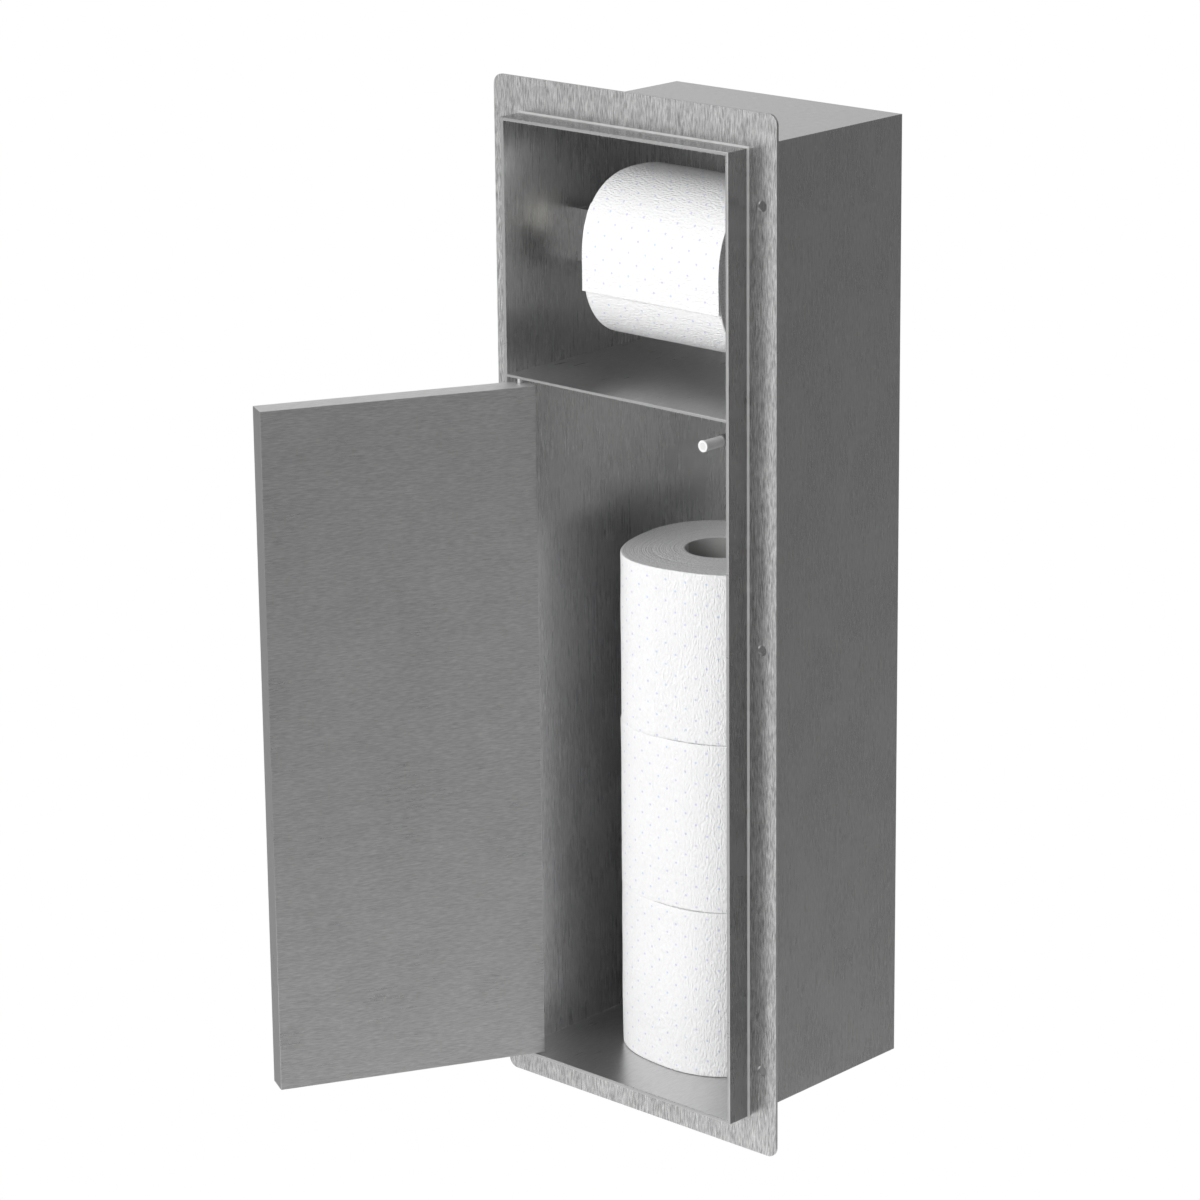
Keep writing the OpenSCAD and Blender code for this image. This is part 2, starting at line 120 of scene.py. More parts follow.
# %% Wire: one socket that can be calculated with
def sign(operation, swapped=False):
    def apply(self, other):
        pair = (other, self) if swapped else (self, other)
        return self.node("ShaderNodeMath", {"operation": operation}, dict(enumerate(pair)))
    return apply


class Wire:
    """One output socket of a node tree, or only the tree, from which the first nodes are made."""

    __add__ = __radd__ = sign("ADD")
    __mul__ = __rmul__ = sign("MULTIPLY")
    __sub__, __rsub__ = sign("SUBTRACT"), sign("SUBTRACT", True)
    __truediv__, __rtruediv__ = sign("DIVIDE"), sign("DIVIDE", True)

    def __init__(self, tree, socket=None):
        self.tree, self.socket = tree, socket

    def node(self, kind, settings=None, sockets=None, out=0):
        made = self.tree.nodes.new(kind)
        for name, value in (settings or {}).items():
            setattr(made, name, value)
        for name, value in (sockets or {}).items():
            if isinstance(value, Wire):
                self.tree.links.new(value.socket, made.inputs[name])
            else:
                made.inputs[name].default_value = value
        return Wire(self.tree, made.outputs[out] if made.outputs else None)

    def maths(self, operation, *others):
        return self.node("ShaderNodeMath", {"operation": operation}, dict(enumerate((self, *others))))

    def part(self, axis):
        """The x, y or z of a vector."""
        return self.node("ShaderNodeSeparateXYZ", sockets={0: self}, out="XYZ".index(axis))

    def tint(self, colour):
        """A colour as bright as this value says."""
        return self.node("ShaderNodeVectorMath", {"operation": "SCALE"}, {0: colour, "Scale": self})

    def between(self, first, second):
        """The first colour where this value is 0 and the second where it is 1."""
        sockets = {0: self, 6: first, 7: second}
        return self.node("ShaderNodeMix", {"data_type": "RGBA"}, sockets, out=2)

    def smooth(self, low, high, to_low=0.0, to_high=1.0):
        """Eases from to_low to to_high while this value goes from low to high."""
        sockets = {0: self, 1: low, 2: high, 3: to_low, 4: to_high}
        return self.node("ShaderNodeMapRange", {"interpolation_type": "SMOOTHSTEP"}, sockets)

    def cloud(self, sizes, detail=2.0, rough=0.5):
        """Noise on this vector. sizes are the lengths of its lumps along x, y and z, in metres."""
        scale = tuple(1 / s for s in sizes)
        place = self.node("ShaderNodeVectorMath", {"operation": "MULTIPLY"}, {0: self, 1: scale})
        sockets = {0: place, "Scale": 1.0, "Detail": detail, "Roughness": rough}
        return self.node("ShaderNodeTexNoise", sockets=sockets)


# %% [markdown]
# ## How every finish starts and ends
# Images would have to be unwrapped onto each sheet, and would show their pixels close up. So every finish
# here is worked out from the object's own coordinates. Its pattern keeps its real size, and stays on the
# part when the part moves. It ends in one Principled shader. Relief that is too fine for the mesh goes
# through a Bump node, which is told how deep the relief really is.

# %% Start and close a material
def new_finish(name):
    """A new material, the wire that its nodes start from, and the object's own coordinates in it."""
    material = bpy.data.materials.new(name)
    material.use_nodes = True
    material.node_tree.nodes.clear()
    start = Wire(material.node_tree)
    return material, start, start.node("ShaderNodeTexCoord", out="Object")


def close_finish(start, **sockets):
    """Ends a material in a Principled shader. Underscores in the names stand for spaces."""
    filled = {name.replace("_", " "): value for name, value in sockets.items()}
    shader = start.node("ShaderNodeBsdfPrincipled", sockets=filled)
    start.node("ShaderNodeOutputMaterial", sockets={"Surface": shader})


def bumped(start, height, depth):
    """A normal from a height between 0 and 1, which stands for depth metres."""
    sockets = {"Height": height, "Distance": depth, "Strength": 1.0}
    return start.node("ShaderNodeBump", sockets=sockets, out="Normal")


# %% [markdown]
# ## Brushed stainless steel
# The sheet is rolled, then ground along its length with a belt. That leaves fine scratches, mostly less
# than a millimetre wide and a few long, soft bands where the belt pressed more, and faint wide blotches.
# The shader's own anisotropy could spread the reflections along them, but it shows no scratches close up.
# Noise that is stretched along the grain does both: it changes the colour a little and tilts the surface a
# little. The direction and the strength differ from sheet to sheet, so they are arguments, and the door's
# sheets have their grain turned with the door. The box stands out in front of its flange as a collar. Its
# outside has painted shade: there the tone fades darker.

# %% Steel
STEEL_TONE, STEEL_ROUGH, STEEL_METAL = 0.6, 0.3, 0.9
STEEL_TINT = (1.0, 1.0, 0.998)
GRAIN_WIDE, GRAIN_LONG = 0.55 * MM, 5 * MM
BAND_WIDE, BAND_LONG = 1.5 * MM, 25 * MM
BLOTCH = 35 * MM
GRAIN_SHADE, BAND_SHADE, BLOTCH_SHADE = 0.7, 0.12, 0.12
BAND_DULL, BLOTCH_DULL = 0.1, 0.08
GRAIN_HEIGHT, BAND_HEIGHT = 0.8, 0.2
COLLAR_FADE = 2 * MM  # in front of Y = 0, where the back of the flange lies


def brushed_steel(
    name, along, tone=STEEL_TONE, roughness=STEEL_ROUGH, metal=STEEL_METAL,
    contrast=1.0, relief=0.03 * MM, turn=0.0, collar=1.0,
):
    """contrast is how much the grain shows, relief its depth, collar a painted shade: the tone's share there.
    """
    material, start, place = new_finish(name)
    if turn:
        place = start.node("ShaderNodeMapping", sockets={"Vector": place, "Rotation": (0, 0, turn)})
    lengths = [(GRAIN_LONG, BAND_LONG) if axis == along else (GRAIN_WIDE, BAND_WIDE) for axis in "XYZ"]
    grain = place.cloud([length for length, _ in lengths], detail=3.0, rough=0.6)
    band = place.cloud([length for _, length in lengths])
    blotch = place.cloud([BLOTCH] * 3)
    # Painted shade: in front of the flange the tone fades to a darker share on the collar.
    if collar != 1:
        tone = tone * place.part("Y").smooth(-COLLAR_FADE, 0.0, collar, 1.0)
    streaks = contrast * (GRAIN_SHADE * (grain - 0.5) + BAND_SHADE * (band - 0.5))
    shade = 1 + streaks + BLOTCH_SHADE * (blotch - 0.5)
    close_finish(
        start,
        Base_Color=(shade * tone).tint(STEEL_TINT),
        Metallic=metal,
        Roughness=roughness + BAND_DULL * (band - 0.5) + BLOTCH_DULL * (blotch - 0.5),
        Normal=bumped(start, GRAIN_HEIGHT * grain + BAND_HEIGHT * band, relief),
    )
    return material


# %% [markdown]
# ## Which sheet has which steel
# One steel for every sheet would be simpler. But sheets of the same steel look different, because they
# mirror different things: a wall that shows the dark side of the tent has to be paler to look the same. So
# each place has its own tone, with painted light in it, and the tones were set against the picture.

# %% The steels, by the place that they cover
DOOR_TURN = math.radians(118)
steel_up = brushed_steel("brushed_steel_grain_up", "Z", tone=0.63, roughness=0.28)
steel_flange = brushed_steel("brushed_steel_flange", "Z", tone=0.7, roughness=0.25, contrast=3.4)
# The outer side and the outer top get painted shade on the collar.
steel_side = brushed_steel("brushed_steel_outer_side", "Z", roughness=0.28, collar=0.66)
steel_wide = brushed_steel("brushed_steel_grain_across", "X", contrast=0.8)
steel_top = brushed_steel(
    "brushed_steel_outer_top", "X", roughness=0.22, metal=1.0, relief=0.01 * MM, collar=0.6,
)
steel_deep = brushed_steel("brushed_steel_grain_inward", "Y", contrast=0.7, relief=0.015 * MM)
steel_shelf = brushed_steel("brushed_steel_shelf", "Y", tone=0.8, metal=0.95, contrast=0.5, relief=0.01 * MM)
steel_rear = brushed_steel(
    "brushed_steel_rear_wall", "Z", tone=0.86, roughness=0.27, metal=0.95, contrast=0.5,
)
steel_door = brushed_steel("brushed_steel_door_grain_across", "X", contrast=1.2, turn=DOOR_TURN)
steel_edge = brushed_steel("ground_steel_edge", "X", tone=0.63, contrast=0.15, relief=0.004 * MM)
steel_door_side = brushed_steel("ground_steel_door_side", "Z", tone=0.62, contrast=0.3, relief=0.01 * MM)
# The door's end faces are paler than its other steel: painted light.
steel_door_end = brushed_steel(
    "steel_door_end_painted_light", "X", tone=0.95, roughness=0.5, metal=0.7, turn=DOOR_TURN,
)
print("steel finishes:", [m.name for m in bpy.data.materials if "steel" in m.name])

# %% [markdown]
# ## Small metal and plastic finishes
# The pins and the latch are turned, so their marks run round the axis. They could share the sheet's steel,
# but straight scratches would look wrong on them close up. The weld bead has a painted highlight: it is pale
# and only partly metal, so that it shows as a bright line. The latch's rod and its tip are a white moulded
# plastic, with a magnet in the tip, and the roll's spindle and the hinge blocks are plain nylon.

# %% Turned metal, weld, spring wire, plastic and magnet
TURNED_TINT = (1.0, 1.0, 0.995)
MARK_LONG, STAIN = 6 * MM, 3 * MM
MARK_SHADE, MARK_DULL, STAIN_DULL, MARK_RELIEF = 0.28, 0.1, 0.14, 0.01 * MM
MOULD_GRAIN, MOULD_RELIEF = 0.25 * MM, 0.006 * MM
FLOW = (4 * MM, 4 * MM, 9 * MM)
FLOW_SHADE, FLOW_DULL = 0.08, 0.1


def turned_steel(name, axis, tone=0.6, roughness=0.22, metal=1.0, mark=0.12 * MM):
    """Marks run round the axis, so the noise is short along it and long across it."""
    material, start, place = new_finish(name)
    marks = place.cloud([mark if a == axis else MARK_LONG for a in "XYZ"], detail=3.0)
    stain = place.cloud([STAIN] * 3)
    close_finish(
        start,
        Base_Color=((1 + MARK_SHADE * (marks - 0.5)) * tone).tint(TURNED_TINT),
        Metallic=metal,
        Roughness=roughness + STAIN_DULL * (stain - 0.5) + MARK_DULL * (marks - 0.5),
        Normal=bumped(start, marks, MARK_RELIEF),
    )
    return material


def moulded(name, colour, roughness):
    """Moulded plastic: an even colour with faint flow marks and a very fine spark-eroded grain."""
    material, start, place = new_finish(name)
    grain = place.cloud([MOULD_GRAIN] * 3)
    flow = place.cloud(FLOW)
    close_finish(
        start,
        Base_Color=(1 + FLOW_SHADE * (flow - 0.5)).tint(colour),
        Roughness=roughness + FLOW_DULL * (flow - 0.5),
        Normal=bumped(start, grain, MOULD_RELIEF),
    )
    return material


turned_up = turned_steel("turned_steel_upright", "Z", tone=0.78)
turned_deep = turned_steel("turned_steel_inward", "Y", tone=0.45, roughness=0.3)
# The weld bead's pale, partly metal finish is a painted highlight.
weld_painted_highlight = turned_steel("weld_bead_painted_highlight", "Y", tone=0.75, roughness=0.5, metal=0.4, mark=3 * MM)
spring_wire = turned_steel("spring_wire", "X", tone=0.45, roughness=0.25)
magnet_metal = turned_steel("nickel_magnet", "Y", tone=0.85, roughness=0.5, metal=0.3)
white_plastic = moulded("white_latch_plastic", (0.93, 0.93, 0.93), roughness=0.35)
nylon = moulded("natural_nylon", (0.66, 0.65, 0.6), roughness=0.4)
print("finishes so far:", len(bpy.data.materials))

# %% [markdown]
# ## The print on the tissue
# The paper has a print of small pale dots in offset rows. An image could hold it, but a roll is simple
# enough to work the dots out: the rows go round it by the angle and along it by the width. A whole even
# number of rows goes round, so that the pattern closes on itself. A little noise makes the dots uneven, as
# wet ink does.

# %% Round a roll, and the printed dots
DOT_PITCH_ROUND, DOT_PITCH_ALONG, DOT_RADIUS = 6.5 * MM, 12.3 * MM, 0.75 * MM
DOT_CORE_SHARE, DOT_RIM_SHARE, DOT_STRENGTH = 0.45, 1.25, 0.55
DOT_ROW_START = 50.25  # in pitches, large enough that no place is below zero
INK_GRAIN, INK_SPREAD = 1.2 * MM, 0.5 * MM


def on_roll(start, place, axis, centre):
    """The place, the angle and the way along, all seen from the centre of a roll about axis "X" or "Z"."""
    place = start.node("ShaderNodeVectorMath", {"operation": "SUBTRACT"}, {0: place, 1: centre})
    side, rise = [place.part(a) for a in ("YZ" if axis == "X" else "XY")]
    return place, rise.maths("ARCTAN2", side), place.part(axis)


def printed_dots(place, angle, along, radius):
    """How strong the print is: zero on bare paper and DOT_STRENGTH inside a dot."""
    rows = 2 * round(math.pi * radius / DOT_PITCH_ROUND)
    row = angle * (rows / (2 * math.pi)) + rows
    odd = row.maths("FLOOR").maths("MODULO", 2.0)
    across = (row.maths("FRACT") - 0.5) * (2 * math.pi * radius / rows)
    step = along / DOT_PITCH_ALONG + 0.5 * odd + DOT_ROW_START
    beside = (step.maths("FRACT") - 0.5) * DOT_PITCH_ALONG
    uneven = (place.cloud([INK_GRAIN] * 3) - 0.5) * INK_SPREAD
    gap = (across * across + beside * beside).maths("SQRT") + uneven
    return gap.smooth(DOT_RADIUS * DOT_CORE_SHARE, DOT_RADIUS * DOT_RIM_SHARE, DOT_STRENGTH, 0.0)


# %% [markdown]
# ## Tissue
# The paper is white, soft and embossed. The ends of a roll show the edges of many layers, as rings. On a
# round roll the distance from the axis would give the rings, but these rolls are pressed a little square.
# So the mesh says in an attribute which layer each point belongs to. The rings follow the layers, and the
# print and the embossed lumps stay on the outermost one.

# %% Tissue
PAPER_WHITE, PAPER_ROUGH = (0.93, 0.93, 0.935, 1), 0.92
DOT_LAVENDER, DOT_BLUE = (0.5, 0.5, 0.83, 1), (0.42, 0.6, 0.86, 1)
LAYER = "layer_radius"
RIM = 0.8 * MM
SKIN_FROM, SKIN_TO = 0.6 * RIM, 0.3 * RIM  # below the outermost layer
LUMP_ROUND, LUMP_ALONG, LUMP_SHADE, EMBOSS = 1.0 * MM, 2.3 * MM, 0.12, 0.8 * MM
LAYERS_WIDE, FIBRE, HUE_PATCH, HUE_EDGE = 0.8 * MM, 0.8 * MM, 14 * MM, (0.56, 0.6)
END_TONE, RING_SHADE, FIBRE_SHADE, FIBRE_DULL = 0.84, 0.5, 0.9, 0.08
RING_HEIGHT, FIBRE_HEIGHT = 0.6, 0.4


def tissue(name, axis, centre, radius):
    """Paper on a roll about axis ("X" or "Z") through centre."""
    material, start, place = new_finish(name)
    place, angle, along = on_roll(start, place, axis, centre)
    reach = start.node("ShaderNodeAttribute", {"attribute_name": LAYER}, out="Fac")
    on_skin = reach.smooth(radius - SKIN_FROM, radius - SKIN_TO)
    dot = printed_dots(place, angle, along, radius) * on_skin
    hue = place.cloud([HUE_PATCH] * 3, detail=0.0).smooth(*HUE_EDGE)
    lump = place.cloud([LUMP_ALONG if a == axis else LUMP_ROUND for a in "XYZ"])
    ring_place = {"W": reach / LAYERS_WIDE, "Scale": 1.0, "Detail": 3.0, "Roughness": 0.65}
    rings = start.node("ShaderNodeTexNoise", {"noise_dimensions": "1D"}, ring_place)
    fibre = place.cloud([FIBRE] * 3, detail=3.0)
    end_shade = END_TONE + RING_SHADE * (rings - 0.5) + FIBRE_SHADE * (fibre - 0.5)
    shade = on_skin * (1.0 + LUMP_SHADE * (lump - 0.5)) + (1 - on_skin) * end_shade
    relief = on_skin * lump + (1 - on_skin) * (RING_HEIGHT * rings + FIBRE_HEIGHT * fibre)
    close_finish(
        start,
        Base_Color=shade.tint(dot.between(PAPER_WHITE, hue.between(DOT_LAVENDER, DOT_BLUE))),
        Roughness=PAPER_ROUGH + FIBRE_DULL * (fibre - 0.5),
        Specular_IOR_Level=0.2,
        Normal=bumped(start, relief, EMBOSS),
    )
    return material


# %% [markdown]
# ## Grey board
# A core is wound from a strip of grey board, so a seam climbs round it as a thin dark line. It could be a
# groove in the mesh, but it is barely a millimetre wide, so colour and a little relief are enough. The
# board is made of old paper, which shows as short fibres and a few darker flecks.

# %% Grey board
BOARD_GREY, BOARD_ROUGH, BOARD_RELIEF = (0.33, 0.328, 0.325), 0.9, 0.08 * MM
SEAM_PITCH, SEAM_SHARE, SEAM_START = 64 * MM, 0.012, 20
SEAM_DARK, FLECK_DARK, BOARD_FIBRE_SHADE, BOARD_FIBRE_DULL = 0.4, 0.25, 0.2, 0.1
BOARD_FIBRE, FLECK, FLECK_EDGE = (1.5 * MM, 1.5 * MM, 0.4 * MM), 0.7 * MM, (0.68, 0.76)


def grey_board(name, axis, centre):
    """The board of a core about axis ("X" or "Z") through centre."""
    material, start, place = new_finish(name)
    place, angle, along = on_roll(start, place, axis, centre)
    turn = along / SEAM_PITCH + angle / (2 * math.pi) + SEAM_START
    seam = (turn.maths("FRACT") - 0.5).maths("ABSOLUTE").smooth(0.0, SEAM_SHARE, 1.0, 0.0)
    fibre = place.cloud(BOARD_FIBRE, detail=4.0, rough=0.65)
    fleck = place.cloud([FLECK] * 3, detail=1.0).smooth(*FLECK_EDGE)
    shade = (1 + BOARD_FIBRE_SHADE * (fibre - 0.5)) * (1 - SEAM_DARK * seam) * (1 - FLECK_DARK * fleck)
    close_finish(
        start,
        Base_Color=shade.tint(BOARD_GREY),
        Roughness=BOARD_ROUGH + BOARD_FIBRE_DULL * (fibre - 0.5),
        Normal=bumped(start, fibre * (1 - seam), BOARD_RELIEF),
    )
    return material


# %% [markdown]
# ## Clean sheet edges from the CAD solids
# Each sheet part has the right shape in the CAD model, but its edges are perfectly sharp. Real sheet that
# was cut, folded and brushed has edges rounded by a few tenths of a millimetre, and those edges catch the
# light as fine lines. The sheets could be drawn again by hand, but a copy of the CAD part can't miss a hole
# or a fold. So each part is copied, its loose triangles are merged into clean faces, and its sharp edges
# get a small bevel. A rule picks the finish of each face from its direction and its place. The flat faces
# keep their own flat normals, and only the bevels are shaded round.

# %% Bevelled copy of a CAD node
WELD, FLAT, SHARP = 0.002 * MM, math.radians(0.5), math.radians(32)
FACING = 0.7  # more than this along an axis, and a face looks that way
SHEET_BEVEL, THIN_BEVEL, BLOCK_BEVEL, BEVEL_STEPS = 0.25 * MM, 0.15 * MM, 0.4 * MM, 2


def edge_angle(edge):
    return edge.calc_face_angle(0.0) if len(edge.link_faces) == 2 else 0.0


def as_object(shape, name, materials=()):
    """Makes an object of a bmesh."""
    mesh = bpy.data.meshes.new(name)
    shape.to_mesh(mesh)
    shape.free()
    for material in materials:
        mesh.materials.append(material)
    return shown(bpy.data.objects.new(name, mesh))


def dress(piece, body, nodes):
    """The piece rides on the body and stands for the CAD nodes, which it hides."""
    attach(piece, body)
    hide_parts(*nodes)
    return piece


def sheet_part(name, node, body, materials, rule=None, width=SHEET_BEVEL):
    """A bevelled copy of a CAD node. rule(normal, middle) gives the finish of a face, one of materials."""
    shape = bmesh.new()
    shape.from_mesh(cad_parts[node].data)
    bmesh.ops.remove_doubles(shape, verts=shape.verts, dist=WELD)
    bmesh.ops.dissolve_limit(shape, angle_limit=FLAT, verts=shape.verts, edges=shape.edges)
    for face in shape.faces:
        finish = rule(face.normal, face.calc_center_median()) if rule else materials[0]
        face.material_index = materials.index(finish)
        face.smooth = True
    sharp = [edge for edge in shape.edges if edge_angle(edge) > SHARP]
    for edge in sharp:
        edge.smooth = False
    if width:
        made = bmesh.ops.bevel(
            shape, geom=sharp, offset=width, segments=BEVEL_STEPS, profile=0.5,
            affect="EDGES", clamp_overlap=True,
        )
        rim = set(made["faces"])
        for edge in shape.edges:
            sides = [face in rim for face in edge.link_faces]
            edge.smooth = edge_angle(edge) < SHARP and (all(sides) or not any(sides))
    return dress(as_object(shape, name, materials), body, [node])


# %% [markdown]
# ## The box, its flange and its shelf
# One strip is folded round to make the top, the sides and the floor, so the grain follows the strip: up the
# sides and across the top and the floor. One finish over the whole box would lose that, so its rule looks
# at each face. The front lips are cut edges that were ground bright. The flange is one plate, with its
# grain upright and with rounded corners and six screw holes.

# %% Box, back, flange, weld and shelf
LIP = 0.3 * MM
lip_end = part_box("box_wrap")[0].y + LIP


def box_rule(normal, middle):
    if normal.y < -FACING and middle.y < lip_end:
        return steel_edge
    outside = normal.x * middle.x > 0 or normal.z * middle.z > 0
    if abs(normal.z) <= FACING:
        return steel_side if outside else steel_up
    if middle.z < 0:
        return steel_deep
    return steel_top if outside else steel_wide


def flange_rule(normal, middle):
    return steel_flange if abs(normal.y) > FACING else steel_edge


def shelf_rule(normal, middle):
    if normal.y < -FACING and middle.y < lip_end:
        return steel_edge
    return steel_shelf if abs(normal.z) > FACING else steel_up


box_finishes = [steel_up, steel_wide, steel_deep, steel_edge, steel_side, steel_top]
for piece in (
    sheet_part("folded_box", "box_wrap", "cabinet", box_finishes, box_rule),
    sheet_part("rear_wall", "back_panel", "cabinet", [steel_rear], width=0),
    sheet_part("flange_plate", "wall_flange", "cabinet", [steel_flange, steel_edge], flange_rule),
    sheet_part("weld_bead", "flange_weld", "cabinet", [weld_painted_highlight], width=0),
    sheet_part("shelf_sheet", "shelf", "cabinet", [steel_shelf, steel_up, steel_edge], shelf_rule),
):
    print(piece.name, len(piece.data.polygons), "faces")


# %% [markdown]
# ## The door
# A shallow pan forms the outer face and the four folded edges, and a thinner liner closes it at the back.
# Its two nylon blocks, its stiffener and the strike plate for the magnet are inside it. The door could be
# drawn closed and swung open by its hinge. But the picture shows it open, so that is its place at rest: its
# sheets are turned by 118 degrees about the hinge, and so is their grain.

# %% Door parts
hinge_side = Vector((math.cos(-DOOR_TURN), math.sin(-DOOR_TURN), 0))


def door_rule(normal, middle):
    if abs(normal.z) > FACING:
        return steel_door_end
    return steel_door_side if abs(normal.dot(hinge_side)) > FACING else steel_door


door_finishes = [steel_door, steel_door_side, steel_door_end]
sheet_part("door_outer_pan", "door_pan", "door", door_finishes, door_rule)
sheet_part("door_inner_sheet", "door_liner", "door", door_finishes, door_rule, width=THIN_BEVEL)
sheet_part("door_channel", "door_stiffener", "door", [steel_door], width=THIN_BEVEL)
sheet_part("hinge_block_top", "upper_hinge_block", "door", [nylon], width=BLOCK_BEVEL)
sheet_part("hinge_block_foot", "lower_hinge_block", "door", [nylon], width=BLOCK_BEVEL)
sheet_part("magnet_strike", "strike_plate", "door", [steel_door], width=THIN_BEVEL)

# %% [markdown]
# ## Hinge pins, latch and roll holder
# These small parts are turned, moulded or folded. They could be made anew, as the rolls are, but only their
# edges are too sharp in the CAD model. So they are bevelled copies as well, each with a bevel that suits
# it. The brackets of the roll are folded from thin sheet, and its spindle is two nylon tubes, one in the
# other.

# %% Small parts
SMALL = (  # piece, CAD node, body, finish, bevel in millimetres, slot
    ("hinge_pin_top", "upper_hinge_pin", "cabinet", turned_up, 0.4, "bright_steel"),
    ("hinge_pin_foot", "lower_hinge_pin", "cabinet", turned_up, 0.4, "bright_steel"),
    ("hinge_washer", "lower_hinge_washer", "cabinet", nylon, 0.2, "nylon"),
    ("latch_tube", "latch_barrel", "cabinet", turned_deep, 0.2, "bright_steel"),
    ("latch_clip", "latch_saddle", "cabinet", steel_deep, 0.15, "stainless"),
    ("latch_rod", "latch_plunger", "plunger", white_plastic, 0.2, "white_tip"),
    ("latch_white_tip", "latch_tip", "plunger", white_plastic, 0.35, "white_tip"),
    ("tip_magnet", "latch_magnet", "plunger", magnet_metal, 0.1, "magnet"),
    ("roll_bracket_left", "left_roll_bracket", "cabinet", steel_up, 0.15, "stainless"),
    ("roll_bracket_right", "right_roll_bracket", "cabinet", steel_up, 0.15, "stainless"),
    ("spindle_wide_tube", "spindle_outer", "cabinet", nylon, 0.3, "nylon"),
    ("spindle_slim_tube", "spindle_inner", "sliding_tube", nylon, 0.3, "nylon"),
)
for name, node, body, finish, bevel, slot in SMALL:
    sheet_part(name, node, body, [finish], width=bevel * MM)
print(len(SMALL), "small parts")

# %% [markdown]
# ## Two springs
# A spring is one round wire, wound about its axis. A Screw modifier could wind it, but it doesn't know the
# wire's slope, so the wire would come out oval. Here a ring of corners is set at every step of the winding,
# square to the wire, and each ring is joined to the next. The latch and the spindle push their springs
# together. A spring could be wound anew for each pose, but the model moves without this script. So each
# spring rides on the part that pushes it.

# %% The wire of a spring
WIRE_SIDES, TURN_RINGS = 12, 32
CAD_END_SHARE = math.sin(math.radians(60))  # the CAD wire has six sides, so its ends are a little flatter


def wound_wire(middle, line, first, second, mean, rise, turns, wire):
    """A bmesh of the wire about line, which rises by rise. mean is the coil's radius, wire a diameter."""
    shape = bmesh.new()
    rings = []
    for step in range(turns * TURN_RINGS + 1):
        share = step / (turns * TURN_RINGS)
        angle = 2 * math.pi * turns * share
        out = math.cos(angle) * first + math.sin(angle) * second
        round_way = math.cos(angle) * second - math.sin(angle) * first
        ahead = round_way * 2 * math.pi * turns * mean + line * rise
        up = ahead.normalized().cross(out)
        centre = middle + mean * out + (share - 0.5) * rise * line
        around = [2 * math.pi * side / WIRE_SIDES for side in range(WIRE_SIDES)]
        rings.append([
            shape.verts.new(centre + wire / 2 * (math.cos(b) * out + math.sin(b) * up)) for b in around
        ])
    for here, after in zip(rings, rings[1:]):
        for side in range(WIRE_SIDES):
            beside = (side + 1) % WIRE_SIDES
            shape.faces.new((here[side], here[beside], after[beside], after[side])).smooth = True
    shape.faces.new(rings[0])
    shape.faces.new(rings[-1])
    bmesh.ops.recalc_face_normals(shape, faces=shape.faces)
    for ring in (rings[0], rings[-1]):
        for here, after in zip(ring, ring[1:] + ring[:1]):
            shape.edges.get((here, after)).smooth = False
    return shape


# %% The springs of the latch and the spindle
def make_spring(name, node, body, axis, wire, turns):
    """axis is 0, 1 or 2 for x, y or z."""
    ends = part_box(node)
    middle, size = (ends[0] + ends[1]) / 2, ends[1] - ends[0]
    line, first, second = (Vector([float((axis + k) % 3 == i) for i in range(3)]) for k in range(3))
    mean, rise = (size[(axis + 1) % 3] - wire) / 2, size[axis] - wire * CAD_END_SHARE
    shape = wound_wire(middle, line, first, second, mean, rise, turns, wire)
    spring = dress(as_object(shape, name, [spring_wire]), body, [node])
    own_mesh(spring)


LATCH_WIRE, LATCH_TURNS, SPINDLE_WIRE, SPINDLE_TURNS = 0.7 * MM, 13, 1.2 * MM, 10
make_spring("latch_coil", "latch_spring", "plunger", 1, LATCH_WIRE, LATCH_TURNS)
make_spring(
    "spindle_coil", "spindle_spring", "sliding_tube", 0, SPINDLE_WIRE, SPINDLE_TURNS,
)

# %% [markdown]
# ## Geometry Nodes, and how a tree becomes a plain piece
# A row of equal parts could be made by a loop in Python. A tree of Geometry Nodes does the same as a
# recipe with named inputs, which are easier to read and to change. The tree is hung on an empty holder,
# its inputs are set, and what it makes is kept as a plain mesh, which rides on a body as any piece does.
# Every tree ends with real faces and a material, because copies that only point at a mesh would be lost
# in the export.

# %% Start a tree, end it, and keep what it makes
def new_tree(name, inputs):
    """The tree, the wire to start from and its inputs by name. inputs are names and kinds of socket."""
    tree = bpy.data.node_groups.new(name, "GeometryNodeTree")
    for label, kind in {"Geometry": "Geometry", **inputs, "Material": "Material"}.items():
        tree.interface.new_socket(label, in_out="INPUT", socket_type="NodeSocket" + kind)
    tree.interface.new_socket("Geometry", in_out="OUTPUT", socket_type="NodeSocketGeometry")
    given = tree.nodes.new("NodeGroupInput")
    return tree, Wire(tree), {socket.name: Wire(tree, socket) for socket in given.outputs if socket.name}


def close_tree(start, geometry, material):
    real = start.node("GeometryNodeRealizeInstances", sockets={0: geometry})
    done = start.node("GeometryNodeSetMaterial", sockets={"Geometry": real, "Material": material})
    start.node("NodeGroupOutput", sockets={0: done})


def grown(tree, name, body, slot, nodes, **values):
    """The piece that a tree makes. values are the tree's inputs by name, with underscores for spaces."""
    holder = shown(bpy.data.objects.new(name + "_holder", bpy.data.meshes.new(name + "_holder")))
    modifier = holder.modifiers.new("tree", "NODES")
    modifier.node_group = tree
    filled = {key.replace("_", " "): value for key, value in values.items()}
    for item in tree.interface.items_tree:
        if item.in_out == "INPUT" and item.name in filled:
            modifier[item.identifier] = filled[item.name]
    made = holder.evaluated_get(bpy.context.evaluated_depsgraph_get())
    mesh = bpy.data.meshes.new_from_object(made)
    mesh.name = name
    bpy.data.objects.remove(holder)
    print(name, len(mesh.polygons), "faces")
    return dress(shown(bpy.data.objects.new(name, mesh)), body, nodes)


